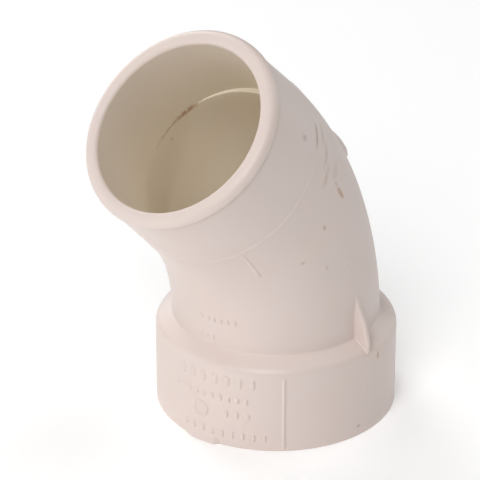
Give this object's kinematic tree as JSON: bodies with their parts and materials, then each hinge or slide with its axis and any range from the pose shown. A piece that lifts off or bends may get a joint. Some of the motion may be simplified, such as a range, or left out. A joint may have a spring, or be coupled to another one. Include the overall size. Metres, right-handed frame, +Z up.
{
  "type": "45 degree street elbow pipe fitting",
  "caption": "White moulded PVC street elbow: a wide socket hub at the foot, a bend of 45 degrees and a plain spigot that fits inside another fitting's socket.",
  "frame": {"origin": "centre of the hub's mouth, in the plane the hub stands on", "axes": "+Z up along the hub's axis, +X the way the spigot leans, +Y completes the right hand"},
  "size_m": [0.0793, 0.0578, 0.0984],
  "materials": {
    "pvc_moulding": "satin injection-moulded rigid PVC, off-white"
  },
  "bodies": {
    "root": {"hub_wall": "pvc_moulding", "pipe_stop": "pvc_moulding", "hub_shoulder": "pvc_moulding", "bend_body": "pvc_moulding", "seam_ring": "pvc_moulding", "spigot_sleeve": "pvc_moulding", "spigot_rim": "pvc_moulding", "gusset_near": "pvc_moulding", "gusset_far": "pvc_moulding", "hub_ridges": "pvc_moulding", "bend_ridges": "pvc_moulding", "side_ridges": "pvc_moulding", "hub_marks": "pvc_moulding", "bend_marks": "pvc_moulding", "gate_nub": "pvc_moulding", "mouth_flash": "pvc_moulding"}
  },
  "joints": []
}
